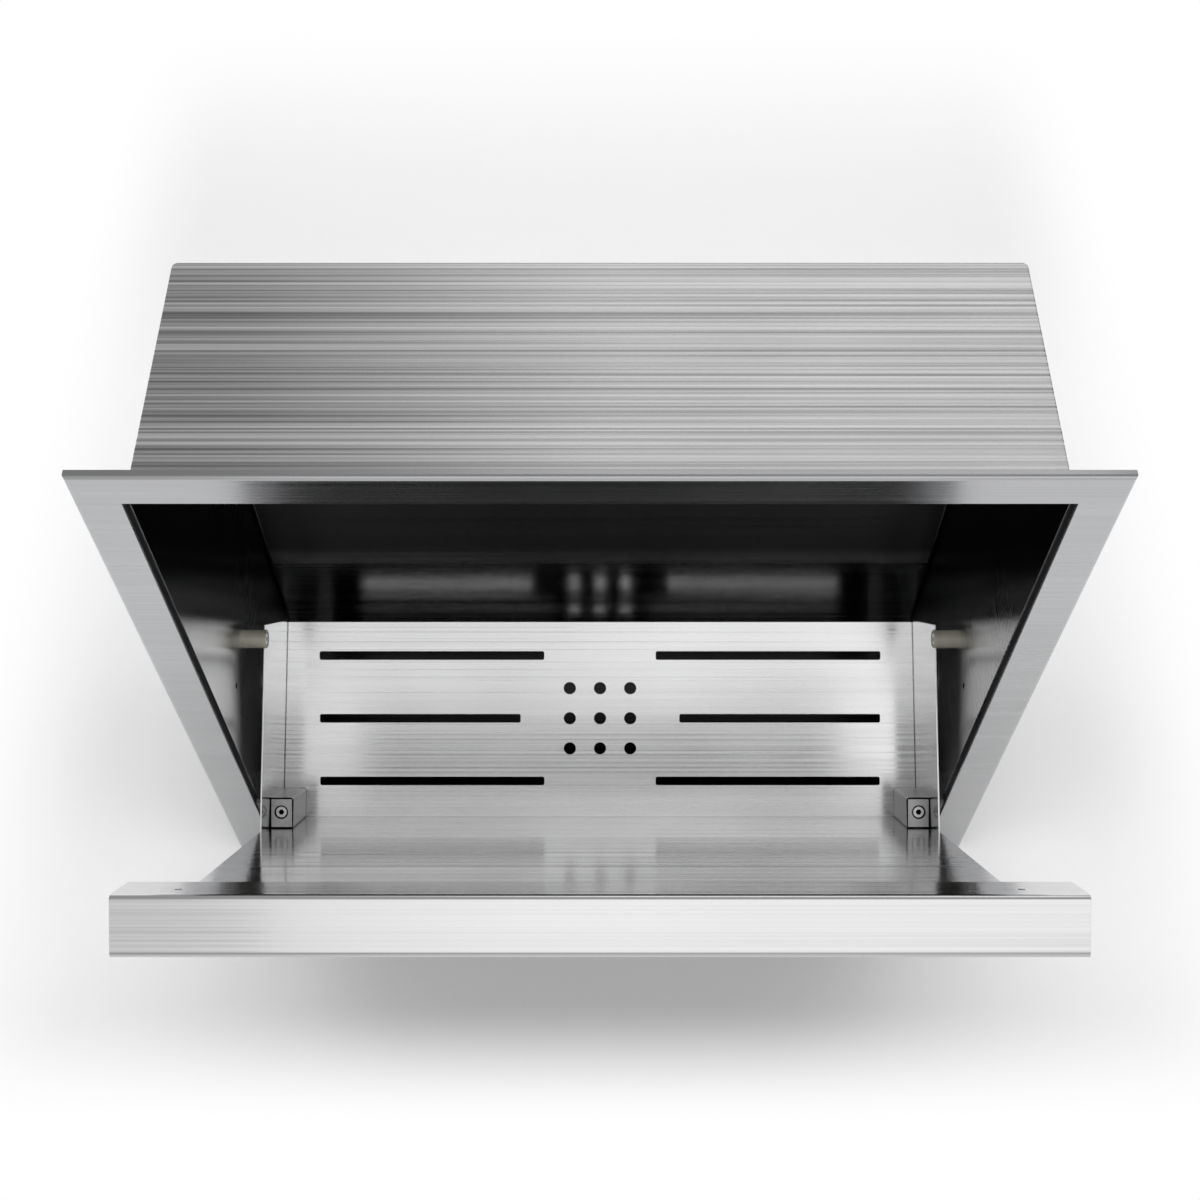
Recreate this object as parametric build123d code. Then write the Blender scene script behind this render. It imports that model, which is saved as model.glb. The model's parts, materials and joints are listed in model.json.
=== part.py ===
from build123d import *
import math
import os

# Built-in storage access door for an outdoor kitchen: a flanged face frame, a sheet liner
# behind it and a bottom-hinged door that tilts out with a slotted tray on its inner side.
# X runs to the right, Y into the wall and Z up. The origin is the centre of the face frame
# on the plane of the wall. The door is drawn shut and then tilted to its open rest pose.

# Face frame
FRAME_WIDTH = 610.0
OPENING_HEIGHT = 472.0
SIDE_FLANGE = 28.5
RAIL_FLANGE = 25.0
FRAME_DEPTH = 6.0
FRAME_SHEET = 1.5
FRAME_BEND = 3.0
OPENING_RETURN = 14.0

# Liner
LINER_DEPTH = 193.0
LINER_SHEET = 1.5
LINER_SETBACK = 6.5
LINER_FLANGE = 15.0
LINER_BEND = 4.0
LINER_EDGE = 1.0
SEAL_THICKNESS = 0.5
FLANGE_CLEARANCE = 0.5
RIVET_RADIUS = 1.6
RIVET_HEAD_RADIUS = 3.2
RIVET_HEAD_HEIGHT = 1.0
RIVETS_ACROSS = 4
RIVETS_UP = 3
HEAD_ROUND_SHARE = 0.7
MOUNT_HOLE_RADIUS = 2.5
MOUNT_HOLE_SPACING_Y = 110.0
MOUNT_HOLE_SPACING_Z = 240.0
MOUNT_HOLE_FIRST_Y = 40.0
MOUNT_HOLE_CENTRE_Z = 60.0

# Door
OPEN_ANGLE = 34.2
DOOR_SIDE_GAP = 9.5
DOOR_END_GAP = 8.0
DOOR_PROUD = 8.0
DOOR_SHEET = 1.5
DOOR_THICKNESS = 34.4
DOOR_LIP = 35.0
DOOR_BEND = 3.0
DOOR_BELOW_FLOOR = 12.0
LIP_HOLE_RADIUS = 2.0
LIP_HOLE_INSET = 34.0
LIP_HOLE_DROP = 15.0

# Tray
TRAY_LENGTH = 162.0
TRAY_INSET = 4.4
TRAY_TAPER = 4.5
TRAY_SEAM = 0.5
TRAY_SHEET = 1.5
WALL_SHEET = 1.2
WALL_HEIGHT = 85.0
WALL_END_GAP = 0.5
WALL_END_LEAN = 2.0
WALL_FOOT = 12.0
SLOT_HEIGHT = 7.0
SLOT_CORNER = 1.5
SLOT_END_MARGIN = 26.1
SLOT_INNER_X = 46.2
MIDDLE_SLOT_INNER_X = 65.8
SLOT_FIRST_ROW = 30.0
SLOT_LAST_MARGIN = 27.8
DRAIN_HOLE_RADIUS = 5.0
DRAIN_HOLE_PITCH = 25.0

# Hinge blocks on the door
BLOCK_WIDTH = 18.3
BLOCK_DEPTH = 24.6
BLOCK_HEIGHT = 54.0
BLOCK_ROUND = 3.0
BLOCK_CORNER = 0.8
PIVOT_OFF_SKIN = 13.0
PIVOT_ABOVE_FLOOR = 26.0
CLAMP_SCREW_RADIUS = 2.5
CLAMP_HEAD_RADIUS = 4.25
CLAMP_HEAD_HEIGHT = 5.0
CLAMP_HEAD_CLEARANCE = 0.95
CLAMP_HEAD_RECESS = 0.6
CLAMP_SOCKET_ACROSS = 4.0
CLAMP_SOCKET_DEPTH = 2.5
FIXING_SCREW_RADIUS = 2.0
FIXING_HEAD_RADIUS = 3.5
FIXING_HEAD_HEIGHT = 2.0
FIXING_SCREW_DEPTH = 9.0
FIXING_OFF_SKIN = 20.0
FIXING_END_MARGIN = 10.0

# Pivots between the hinge blocks and the liner
PIN_RADIUS = 3.0
PIN_END_GAP = 1.0
PIN_CHAMFER = 0.5
PIN_RUNNING_CLEARANCE = 0.05
BUSH_WALL = 1.5
BUSH_COLLAR_RADIUS = 5.6
BUSH_COLLAR = 1.0
BEARING_THICKNESS = 7.0
BEARING_SETBACK = 0.5
BEARING_REAR = 23.0
BEARING_HEIGHT = 42.0
BEARING_CORNER = 3.0
BEARING_SCREW_RADIUS = 2.0
BEARING_SCREW_SPREAD = 13.0
BEARING_SCREW_BACK = 15.5
BEARING_SCREW_DEPTH = 5.0
BEARING_HEAD_RADIUS = 3.8
BEARING_HEAD_HEIGHT = 2.2

# Open stops on the liner
STOP_RADIUS = 7.0
STOP_WALL = 3.2
STOP_OVERLAP = 3.0
STOP_FROM_TRAY_END = 9.0
STOP_CLEARANCE = 0.3
STOP_HEAD_RADIUS = 5.6
STOP_HEAD_HEIGHT = 2.6
STOP_HEAD_CLEARANCE = 0.2
STOP_HEAD_RECESS = 0.4
STOP_SOCKET_ACROSS = 4.0
STOP_SOCKET_DEPTH = 1.6
STOP_NUT_ACROSS = 10.0
STOP_NUT_HEIGHT = 5.0
STOP_THREAD_OVER = 1.5

# Places that follow from the sizes above
OPENING_WIDTH = FRAME_WIDTH - 2 * SIDE_FLANGE
FRAME_HEIGHT = OPENING_HEIGHT + 2 * RAIL_FLANGE
FACE_Y = -FRAME_DEPTH
LINER_HALF = OPENING_WIDTH / 2
LINER_TOP = OPENING_HEIGHT / 2
LINER_FRONT = FACE_Y + LINER_SETBACK
LINER_REAR = FACE_Y + LINER_DEPTH
FLANGE_FRONT = LINER_REAR - LINER_SHEET
SIDE_INNER = LINER_HALF - LINER_SHEET

DOOR_HALF = OPENING_WIDTH / 2 - DOOR_SIDE_GAP
DOOR_TOP = OPENING_HEIGHT / 2 - DOOR_END_GAP
DOOR_BOTTOM = -OPENING_HEIGHT / 2 + DOOR_END_GAP
SKIN_Y = FACE_Y - DOOR_PROUD + DOOR_SHEET
FLOOR_Z = DOOR_BOTTOM + DOOR_BELOW_FLOOR
PIVOT_Y = SKIN_Y + PIVOT_OFF_SKIN
PIVOT_Z = FLOOR_Z + PIVOT_ABOVE_FLOOR
TRAY_FRONT_HALF = DOOR_HALF - TRAY_INSET
TRAY_REAR_HALF = TRAY_FRONT_HALF - TRAY_TAPER
SLOT_OUTER_X = TRAY_REAR_HALF - SLOT_END_MARGIN
SLOT_ROW_PITCH = (TRAY_LENGTH - SLOT_FIRST_ROW - SLOT_LAST_MARGIN) / 2
LIP_HOLE_X = DOOR_HALF - LIP_HOLE_INSET
HINGE = Axis((0, PIVOT_Y, PIVOT_Z), (1, 0, 0))
BUSH_RADIUS = PIN_RADIUS + PIN_RUNNING_CLEARANCE + BUSH_WALL
BEARING_INNER = SIDE_INNER - BEARING_THICKNESS
BEARING_FRONT = PIVOT_Y - FACE_Y - BEARING_SETBACK
PIN_OUTER = SIDE_INNER - PIN_END_GAP
PIN_INNER = TRAY_FRONT_HALF - BLOCK_WIDTH / 2 - PIN_RADIUS


def block(x, y, z):
    """A box between two places on each axis."""
    size = (x[1] - x[0], y[1] - y[0], z[1] - z[0])
    middle = ((x[0] + x[1]) / 2, (y[0] + y[1]) / 2, (z[0] + z[1]) / 2)
    return Pos(*middle) * Box(*size)


def rod(radius, start, end):
    """A round bar between two points."""
    way = Vector(*end) - Vector(*start)
    return extrude(Plane(origin=start, z_dir=way) * Circle(radius), amount=way.length)


def hexagon_rod(across, start, end):
    """A hexagonal bar between two points, given its width across the flats."""
    way = Vector(*end) - Vector(*start)
    section = RegularPolygon(across / 2, 6, major_radius=False)
    return extrude(Plane(origin=start, z_dir=way) * section, amount=way.length)


def tray_half_width(off_skin):
    """Inner half width of the tray, which narrows towards its rear end."""
    return TRAY_FRONT_HALF - TRAY_TAPER * off_skin / TRAY_LENGTH


def opened(solid):
    """Tilt a piece of the shut door out to the stops."""
    return solid.rotate(HINGE, OPEN_ANGLE)


def to_open_pose(y, z):
    """Tilt a point of the shut door out to the stops."""
    angle = math.radians(OPEN_ANGLE)
    dy = y - PIVOT_Y
    dz = z - PIVOT_Z
    turned_y = dy * math.cos(angle) - dz * math.sin(angle)
    turned_z = dy * math.sin(angle) + dz * math.cos(angle)
    return PIVOT_Y + turned_y, PIVOT_Z + turned_z


def on_both_sides(name, make):
    """Two mirrored nodes, the piece itself being drawn on the right."""
    piece = make()
    return {name + "_right": piece, name + "_left": mirror(piece, about=Plane.YZ)}


def pair(piece):
    """A piece and its mirrored twin as separate solids of one node."""
    twin = mirror(piece, about=Plane.YZ)
    return Compound(list(piece.solids()) + list(twin.solids()))


def face_frame():
    """Flange round the opening, folded back at its outer and inner edges."""
    half_w = FRAME_WIDTH / 2
    half_h = FRAME_HEIGHT / 2
    open_w = OPENING_WIDTH / 2
    open_h = OPENING_HEIGHT / 2
    outer = block((-half_w, half_w), (FACE_Y, 0), (-half_h, half_h))
    outer = fillet(outer.faces().sort_by(Axis.Y)[0].edges(), FRAME_BEND)
    wall = FRAME_SHEET
    inside_w = half_w - wall
    inside_h = half_h - wall
    cavity = block((-inside_w, inside_w), (FACE_Y + wall, 0), (-inside_h, inside_h))
    cavity = fillet(cavity.faces().sort_by(Axis.Y)[0].edges(), FRAME_BEND - wall)
    ring_w = open_w + wall
    ring_h = open_h + wall
    ring = block((-ring_w, ring_w), (FACE_Y + wall / 2, FACE_Y + OPENING_RETURN), (-ring_h, ring_h))
    hole = block((-open_w, open_w), (FACE_Y, FACE_Y + OPENING_RETURN), (-open_h, open_h))
    frame = (outer - cavity) + ring - hole
    front = frame.faces().sort_by(Axis.Y)[0]
    return fillet(front.inner_wires()[0].edges(), wall / 2)


def opening_seal():
    """Black strip on the frame's inner return, in front of the liner's edges."""
    half_w = OPENING_WIDTH / 2
    half_h = OPENING_HEIGHT / 2
    inner_w = half_w - SEAL_THICKNESS
    inner_h = half_h - SEAL_THICKNESS
    depth = (FACE_Y + FRAME_SHEET, LINER_FRONT)
    return block((-half_w, half_w), depth, (-half_h, half_h)) - block(
        (-inner_w, inner_w), depth, (-inner_h, inner_h)
    )


def liner_top():
    """Upper sheet of the liner with rounded rear corners and a flange turned down there."""
    under = LINER_TOP - LINER_SHEET
    sheet = block((-LINER_HALF, LINER_HALF), (LINER_FRONT, LINER_REAR), (under, LINER_TOP))
    corners = sheet.edges().filter_by(Axis.Z).group_by(Axis.Y)[-1]
    sheet = fillet(corners, LINER_BEND)
    rim = sheet.faces().sort_by(Axis.Z)[-1].edges().sort_by(Axis.Y)[1:]
    sheet = fillet(rim, LINER_EDGE)
    reach = SIDE_INNER - LINER_FLANGE - FLANGE_CLEARANCE
    drop = under - LINER_FLANGE
    flange = block((-reach, reach), (FLANGE_FRONT, LINER_REAR), (drop, under))
    return sheet + flange - [rivet_shank(x, z) for x, z in rivet_places()]


def mount_holes():
    """Places of the fixing holes in a liner side, as Y and Z."""
    for y in (MOUNT_HOLE_FIRST_Y, MOUNT_HOLE_FIRST_Y + MOUNT_HOLE_SPACING_Y):
        for sign in (-1, 1):
            yield y, MOUNT_HOLE_CENTRE_Z + sign * MOUNT_HOLE_SPACING_Z / 2


def bearing_screw_places():
    """Y and Z of the two screws that hold a pivot bearing, behind the frame's return."""
    y = PIVOT_Y + BEARING_SCREW_BACK
    return (y, PIVOT_Z - BEARING_SCREW_SPREAD), (y, PIVOT_Z + BEARING_SCREW_SPREAD)


def stop_centre():
    """Y and Z of a stop, on the wall's upper edge when the door is open."""
    y = SKIN_Y + TRAY_LENGTH - STOP_FROM_TRAY_END
    z = FLOOR_Z + WALL_HEIGHT + STOP_RADIUS + STOP_CLEARANCE
    return to_open_pose(y, z)


def liner_side():
    """Right side sheet, bent in at its rear, with flanges turned in at top and bottom."""
    under = LINER_TOP - LINER_SHEET
    flange_x = (SIDE_INNER - LINER_FLANGE, SIDE_INNER)
    outline = Polyline(
        (LINER_HALF, LINER_FRONT),
        (LINER_HALF, LINER_REAR),
        (flange_x[0], LINER_REAR),
        (flange_x[0], FLANGE_FRONT),
        (SIDE_INNER, FLANGE_FRONT),
        (SIDE_INNER, LINER_FRONT),
        close=True,
    )
    section = make_face(outline)
    outer = section.vertices().sort_by_distance((LINER_HALF, LINER_REAR))[0]
    section = fillet(outer, LINER_BEND)
    inner = section.vertices().sort_by_distance((SIDE_INNER, FLANGE_FRONT))[0]
    section = fillet(inner, LINER_BEND - LINER_SHEET)
    side = extrude(Plane.XY.offset(-under) * section, amount=2 * under)
    upper = block(flange_x, (LINER_FRONT, LINER_REAR - LINER_BEND), (under - LINER_SHEET, under))
    side += [upper, mirror(upper, about=Plane.XY)]
    through = (SIDE_INNER - LINER_SHEET, LINER_HALF + LINER_SHEET)
    for y, z in mount_holes():
        side -= rod(MOUNT_HOLE_RADIUS, (through[0], y, z), (through[1], y, z))
    for y, z in bearing_screw_places():
        side -= rod(BEARING_SCREW_RADIUS, (through[0], y, z), (through[1], y, z))
    y, z = stop_centre()
    side -= rod(STOP_RADIUS - STOP_WALL, (through[0], y, z), (through[1], y, z))
    return side - [rivet_shank(x, z) for x, z in rivet_places()]


def rivet_places():
    """X and Z of the rivets round the edge of the liner's back."""
    x_edge = SIDE_INNER - LINER_FLANGE / 2
    z_edge = LINER_TOP - LINER_SHEET - LINER_FLANGE / 2
    x_step = 2 * x_edge / (RIVETS_ACROSS + 1)
    z_step = 2 * z_edge / (RIVETS_UP + 1)
    for i in range(1, RIVETS_ACROSS + 1):
        for sign in (-1, 1):
            yield -x_edge + i * x_step, sign * z_edge
    for i in range(1, RIVETS_UP + 1):
        for sign in (-1, 1):
            yield sign * x_edge, -z_edge + i * z_step


def rivet_shank(x, z):
    """Part of a rivet that fills the back plate and the flange behind it."""
    return rod(RIVET_RADIUS, (x, FLANGE_FRONT - LINER_SHEET, z), (x, LINER_REAR, z))


def liner_back():
    """Plate riveted on the inner side of the rear flanges."""
    half_w = SIDE_INNER - LINER_BEND + LINER_SHEET - FLANGE_CLEARANCE
    half_h = LINER_TOP - LINER_SHEET - FLANGE_CLEARANCE
    depth = (FLANGE_FRONT - LINER_SHEET, FLANGE_FRONT)
    sheet = block((-half_w, half_w), depth, (-half_h, half_h))
    return sheet - [rivet_shank(x, z) for x, z in rivet_places()]


def liner_rivets():
    """Domed rivets through the rear flanges and the back plate."""
    rivets = []
    for x, z in rivet_places():
        head = rod(RIVET_HEAD_RADIUS, (x, LINER_REAR, z), (x, LINER_REAR + RIVET_HEAD_HEIGHT, z))
        head = fillet(head.edges().sort_by(Axis.Y)[-1], RIVET_HEAD_HEIGHT * HEAD_ROUND_SHARE)
        rivets.append(head + rivet_shank(x, z))
    return Compound(rivets)


def door_panel():
    """Outer skin whose top is folded back into a strip and a lip, the finger pull."""
    skin_out = SKIN_Y - DOOR_SHEET
    lip_out = skin_out + DOOR_THICKNESS
    lip_in = lip_out - DOOR_SHEET
    lip_end = DOOR_TOP - DOOR_LIP
    strip_under = DOOR_TOP - DOOR_SHEET
    outline = Polyline(
        (skin_out, DOOR_BOTTOM),
        (skin_out, DOOR_TOP),
        (lip_out, DOOR_TOP),
        (lip_out, lip_end),
        (lip_in, lip_end),
        (lip_in, strip_under),
        (SKIN_Y, strip_under),
        (SKIN_Y, DOOR_BOTTOM),
        close=True,
    )
    section = make_face(Plane.YZ * outline)
    outer = section.vertices().filter_by(lambda v: abs(v.Z - DOOR_TOP) < DOOR_SHEET / 4)
    section = fillet(outer, DOOR_BEND)
    inner = section.vertices().filter_by(lambda v: abs(v.Z - strip_under) < DOOR_SHEET / 4)
    section = fillet(inner, DOOR_BEND - DOOR_SHEET)
    panel = extrude(section, amount=DOOR_HALF, both=True)
    z = DOOR_TOP - LIP_HOLE_DROP
    for x in (-LIP_HOLE_X, LIP_HOLE_X):
        panel -= rod(LIP_HOLE_RADIUS, (x, lip_in - DOOR_SHEET, z), (x, lip_out + DOOR_SHEET, z))
    return panel


def tray_slots():
    """Centre X, row and length of each long slot in the tray floor."""
    for row in range(3):
        inner = MIDDLE_SLOT_INNER_X if row == 1 else SLOT_INNER_X
        for sign in (-1, 1):
            middle = sign * (SLOT_OUTER_X + inner) / 2
            yield middle, SLOT_FIRST_ROW + row * SLOT_ROW_PITCH, SLOT_OUTER_X - inner


def tray_floor():
    """Slotted floor at right angles to the skin, with a small group of round drain holes."""
    plan = Plane(origin=(0, SKIN_Y, FLOOR_Z))
    corners = Polyline(
        (TRAY_SEAM - TRAY_FRONT_HALF, 0),
        (TRAY_FRONT_HALF - TRAY_SEAM, 0),
        (TRAY_REAR_HALF - TRAY_SEAM, TRAY_LENGTH),
        (TRAY_SEAM - TRAY_REAR_HALF, TRAY_LENGTH),
        close=True,
    )
    sheet = make_face(corners)
    for x, row, length in tray_slots():
        sheet -= Pos(x, row) * RectangleRounded(length, SLOT_HEIGHT, SLOT_CORNER)
    middle_row = SLOT_FIRST_ROW + SLOT_ROW_PITCH
    for i in (-1, 0, 1):
        for j in (-1, 0, 1):
            hole = Circle(DRAIN_HOLE_RADIUS)
            sheet -= Pos(i * DRAIN_HOLE_PITCH, middle_row + j * DRAIN_HOLE_PITCH) * hole
    return extrude(plan * sheet, amount=-TRAY_SHEET)


def wall_plan(inner, outer, start, end):
    """A strip in plan along the tray's edge, between two offsets from its inner face."""
    points = (
        (tray_half_width(start) + inner, start),
        (tray_half_width(start) + outer, start),
        (tray_half_width(end) + outer, end),
        (tray_half_width(end) + inner, end),
    )
    return make_face(Polyline(*points, close=True))


def fixing_places():
    """Y and Z of the two screws between the tray wall and the hinge block."""
    y = SKIN_Y + FIXING_OFF_SKIN
    low = FLOOR_Z + FIXING_END_MARGIN
    high = FLOOR_Z + BLOCK_HEIGHT - FIXING_END_MARGIN
    return (y, low), (y, high)


def wall_face_x(y):
    """Inner face of the right tray wall at a depth."""
    return tray_half_width(y - SKIN_Y)


def tray_side():
    """Right wall of the tray, its rear edge leaning back, with a foot turned in below the floor."""
    under = FLOOR_Z - TRAY_SHEET - WALL_SHEET
    top = FLOOR_Z + WALL_HEIGHT
    base = Plane(origin=(0, SKIN_Y, under))
    end = TRAY_LENGTH - WALL_END_GAP
    reach = TRAY_FRONT_HALF + WALL_SHEET * 2
    web = extrude(base * wall_plan(0, WALL_SHEET, 0, end + WALL_END_LEAN), amount=top - under)
    rear = SKIN_Y + end
    behind = Polyline((rear, under), (rear + WALL_END_LEAN, top), (rear + WALL_END_LEAN, under), close=True)
    web -= extrude(make_face(Plane.YZ * behind), amount=reach)
    foot = extrude(base * wall_plan(-WALL_FOOT, 0, 0, end), amount=WALL_SHEET)
    side = web + foot
    for y, z in fixing_places():
        side -= rod(FIXING_SCREW_RADIUS, (wall_face_x(y) - WALL_SHEET, y, z), (reach, y, z))
    pin_hole = PIN_RADIUS + PIN_RUNNING_CLEARANCE
    start = wall_face_x(PIVOT_Y) - WALL_SHEET
    return side - rod(pin_hole, (start, PIVOT_Y, PIVOT_Z), (reach, PIVOT_Y, PIVOT_Z))


def clamp_screw():
    """Socket-head screw, let into the block's upper end, that locks the pivot pin."""
    x = TRAY_FRONT_HALF - BLOCK_WIDTH / 2
    top = FLOOR_Z + BLOCK_HEIGHT - CLAMP_HEAD_RECESS
    under = top - CLAMP_HEAD_HEIGHT
    tip = PIVOT_Z + PIN_RADIUS
    head = rod(CLAMP_HEAD_RADIUS, (x, PIVOT_Y, under), (x, PIVOT_Y, top))
    socket_start = (x, PIVOT_Y, top - CLAMP_SOCKET_DEPTH)
    head -= hexagon_rod(CLAMP_SOCKET_ACROSS, socket_start, (x, PIVOT_Y, top))
    return head + rod(CLAMP_SCREW_RADIUS, (x, PIVOT_Y, tip), (x, PIVOT_Y, under))


def hinge_block():
    """Block in the corner of skin, floor and wall, its free edges rounded, bored for pin and screws."""
    top = FLOOR_Z + BLOCK_HEIGHT
    plan = Plane(origin=(0, SKIN_Y, FLOOR_Z))
    body = extrude(plan * wall_plan(-BLOCK_WIDTH, 0, 0, BLOCK_DEPTH), amount=BLOCK_HEIGHT)
    free_corner = (TRAY_FRONT_HALF - BLOCK_WIDTH, SKIN_Y + BLOCK_DEPTH, FLOOR_Z + BLOCK_HEIGHT / 2)
    free_edge = body.edges().filter_by(Axis.Z).sort_by_distance(free_corner)[0]
    body = fillet(free_edge, BLOCK_ROUND)
    body = fillet(body.faces().sort_by(Axis.Z)[-1].edges(), BLOCK_CORNER)
    x = TRAY_FRONT_HALF - BLOCK_WIDTH / 2
    under = top - CLAMP_HEAD_RECESS - CLAMP_HEAD_HEIGHT
    body -= rod(CLAMP_HEAD_RADIUS + CLAMP_HEAD_CLEARANCE, (x, PIVOT_Y, under), (x, PIVOT_Y, top))
    body -= rod(CLAMP_SCREW_RADIUS, (x, PIVOT_Y, PIVOT_Z), (x, PIVOT_Y, under))
    body -= rod(PIN_RADIUS, (PIN_INNER, PIVOT_Y, PIVOT_Z), (TRAY_FRONT_HALF, PIVOT_Y, PIVOT_Z))
    for place in fixing_places():
        face = wall_face_x(place[0])
        body -= rod(FIXING_SCREW_RADIUS, (face - FIXING_SCREW_DEPTH, *place), (TRAY_FRONT_HALF, *place))
    return body


def fixing_screws():
    """Two button-head screws from the outer side of the tray wall into the block."""
    screws = []
    for place in fixing_places():
        face = wall_face_x(place[0])
        seat = wall_face_x(place[0] - FIXING_HEAD_RADIUS) + WALL_SHEET
        head = rod(FIXING_HEAD_RADIUS, (seat, *place), (seat + FIXING_HEAD_HEIGHT, *place))
        head = fillet(head.edges().sort_by(Axis.X)[-1], FIXING_HEAD_HEIGHT * HEAD_ROUND_SHARE)
        shank = rod(FIXING_SCREW_RADIUS, (face - FIXING_SCREW_DEPTH, *place), (seat, *place))
        screws.append(head + shank)
    return Compound(screws)


def pivot_pin():
    """Plain pin that stands out of the hinge block into the bush."""
    pin = rod(PIN_RADIUS, (PIN_INNER, PIVOT_Y, PIVOT_Z), (PIN_OUTER, PIVOT_Y, PIVOT_Z))
    return chamfer(pin.edges().sort_by(Axis.X)[-1], PIN_CHAMFER)


def pivot_bush():
    """Collared bush in which the pin turns."""
    collar_start = BEARING_INNER - BUSH_COLLAR
    body = rod(BUSH_RADIUS, (BEARING_INNER, PIVOT_Y, PIVOT_Z), (SIDE_INNER, PIVOT_Y, PIVOT_Z))
    body += rod(BUSH_COLLAR_RADIUS, (collar_start, PIVOT_Y, PIVOT_Z), (BEARING_INNER, PIVOT_Y, PIVOT_Z))
    bore = PIN_RADIUS + PIN_RUNNING_CLEARANCE
    return body - rod(bore, (collar_start, PIVOT_Y, PIVOT_Z), (SIDE_INNER, PIVOT_Y, PIVOT_Z))


def pivot_bearing():
    """Bearing plate screwed to the liner side round the bush."""
    middle = PIVOT_Y + (BEARING_REAR - BEARING_FRONT) / 2
    face = Plane(origin=(BEARING_INNER, middle, PIVOT_Z), x_dir=(0, 1, 0), z_dir=(1, 0, 0))
    outline = RectangleRounded(BEARING_FRONT + BEARING_REAR, BEARING_HEIGHT, BEARING_CORNER)
    plate = extrude(face * outline, amount=BEARING_THICKNESS)
    plate -= rod(BUSH_RADIUS, (BEARING_INNER, PIVOT_Y, PIVOT_Z), (SIDE_INNER, PIVOT_Y, PIVOT_Z))
    for y, z in bearing_screw_places():
        start = (SIDE_INNER - BEARING_SCREW_DEPTH, y, z)
        plate -= rod(BEARING_SCREW_RADIUS, start, (SIDE_INNER, y, z))
    return plate


def bearing_screw_pair():
    """Two screws from outside the liner into a bearing plate."""
    screws = []
    for y, z in bearing_screw_places():
        start = (SIDE_INNER - BEARING_SCREW_DEPTH, y, z)
        seat = (LINER_HALF, y, z)
        head_end = (LINER_HALF + BEARING_HEAD_HEIGHT, y, z)
        head = rod(BEARING_HEAD_RADIUS, seat, head_end)
        head = fillet(head.edges().sort_by(Axis.X)[-1], BEARING_HEAD_HEIGHT * HEAD_ROUND_SHARE)
        screws.append(head + rod(BEARING_SCREW_RADIUS, start, seat))
    return Compound(screws)


def stop_inner_x():
    """Inner end of the stop sleeve, just past the inner face of the wall's edge."""
    return tray_half_width(TRAY_LENGTH - STOP_FROM_TRAY_END) - STOP_OVERLAP


def stop_sleeve():
    """Clear sleeve that the wall's upper edge comes to rest on, hollowed for its screw."""
    y, z = stop_centre()
    start = (stop_inner_x(), y, z)
    end = (SIDE_INNER, y, z)
    seat = (stop_inner_x() + STOP_HEAD_RECESS + STOP_HEAD_HEIGHT, y, z)
    sleeve = rod(STOP_RADIUS, start, end)
    rim = sleeve.edges().sort_by(Axis.X)[0]
    sleeve = fillet(rim, (STOP_RADIUS - STOP_HEAD_RADIUS - STOP_HEAD_CLEARANCE) / 2)
    sleeve -= rod(STOP_HEAD_RADIUS + STOP_HEAD_CLEARANCE, start, seat)
    return sleeve - rod(STOP_RADIUS - STOP_WALL, seat, end)


def stop_post():
    """Button-head screw through the sleeve and the liner side."""
    y, z = stop_centre()
    top = stop_inner_x() + STOP_HEAD_RECESS
    seat = top + STOP_HEAD_HEIGHT
    head = rod(STOP_HEAD_RADIUS, (top, y, z), (seat, y, z))
    head = fillet(head.edges().sort_by(Axis.X)[0], STOP_HEAD_HEIGHT * HEAD_ROUND_SHARE)
    head -= hexagon_rod(STOP_SOCKET_ACROSS, (top, y, z), (top + STOP_SOCKET_DEPTH, y, z))
    end = LINER_HALF + STOP_NUT_HEIGHT + STOP_THREAD_OVER
    return head + rod(STOP_RADIUS - STOP_WALL, (seat, y, z), (end, y, z))


def stop_nut():
    """Hexagon nut on the stop's post, outside the liner."""
    y, z = stop_centre()
    start = (LINER_HALF, y, z)
    end = (LINER_HALF + STOP_NUT_HEIGHT, y, z)
    return hexagon_rod(STOP_NUT_ACROSS, start, end) - rod(STOP_RADIUS - STOP_WALL, start, end)


fixed = {
    "face_frame": face_frame(),
    "opening_seal": opening_seal(),
    "liner_top": liner_top(),
    "liner_bottom": mirror(liner_top(), about=Plane.XY),
    "liner_back": liner_back(),
    "liner_rivets": liner_rivets(),
    "bearing_screws": pair(bearing_screw_pair()),
    "stop_nuts": pair(stop_nut()),
}
fixed |= on_both_sides("liner_side", liner_side)
fixed |= on_both_sides("pivot_bearing", pivot_bearing)
fixed |= on_both_sides("pivot_bush", pivot_bush)
fixed |= on_both_sides("stop_sleeve", stop_sleeve)
fixed |= on_both_sides("stop_post", stop_post)

swinging = {
    "door_panel": door_panel(),
    "tray_floor": tray_floor(),
    "clamp_screws": pair(clamp_screw()),
}
swinging |= on_both_sides("tray_side", tray_side)
swinging |= on_both_sides("hinge_block", hinge_block)
swinging |= on_both_sides("fixing_screws", fixing_screws)
swinging |= on_both_sides("pivot_pin", pivot_pin)

os.makedirs("parts", exist_ok=True)
for node, solid in fixed.items():
    export_step(solid, f"parts/{node}.step")
for node, solid in swinging.items():
    export_step(opened(solid), f"parts/{node}.step")
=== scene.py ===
import json
import math

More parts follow.
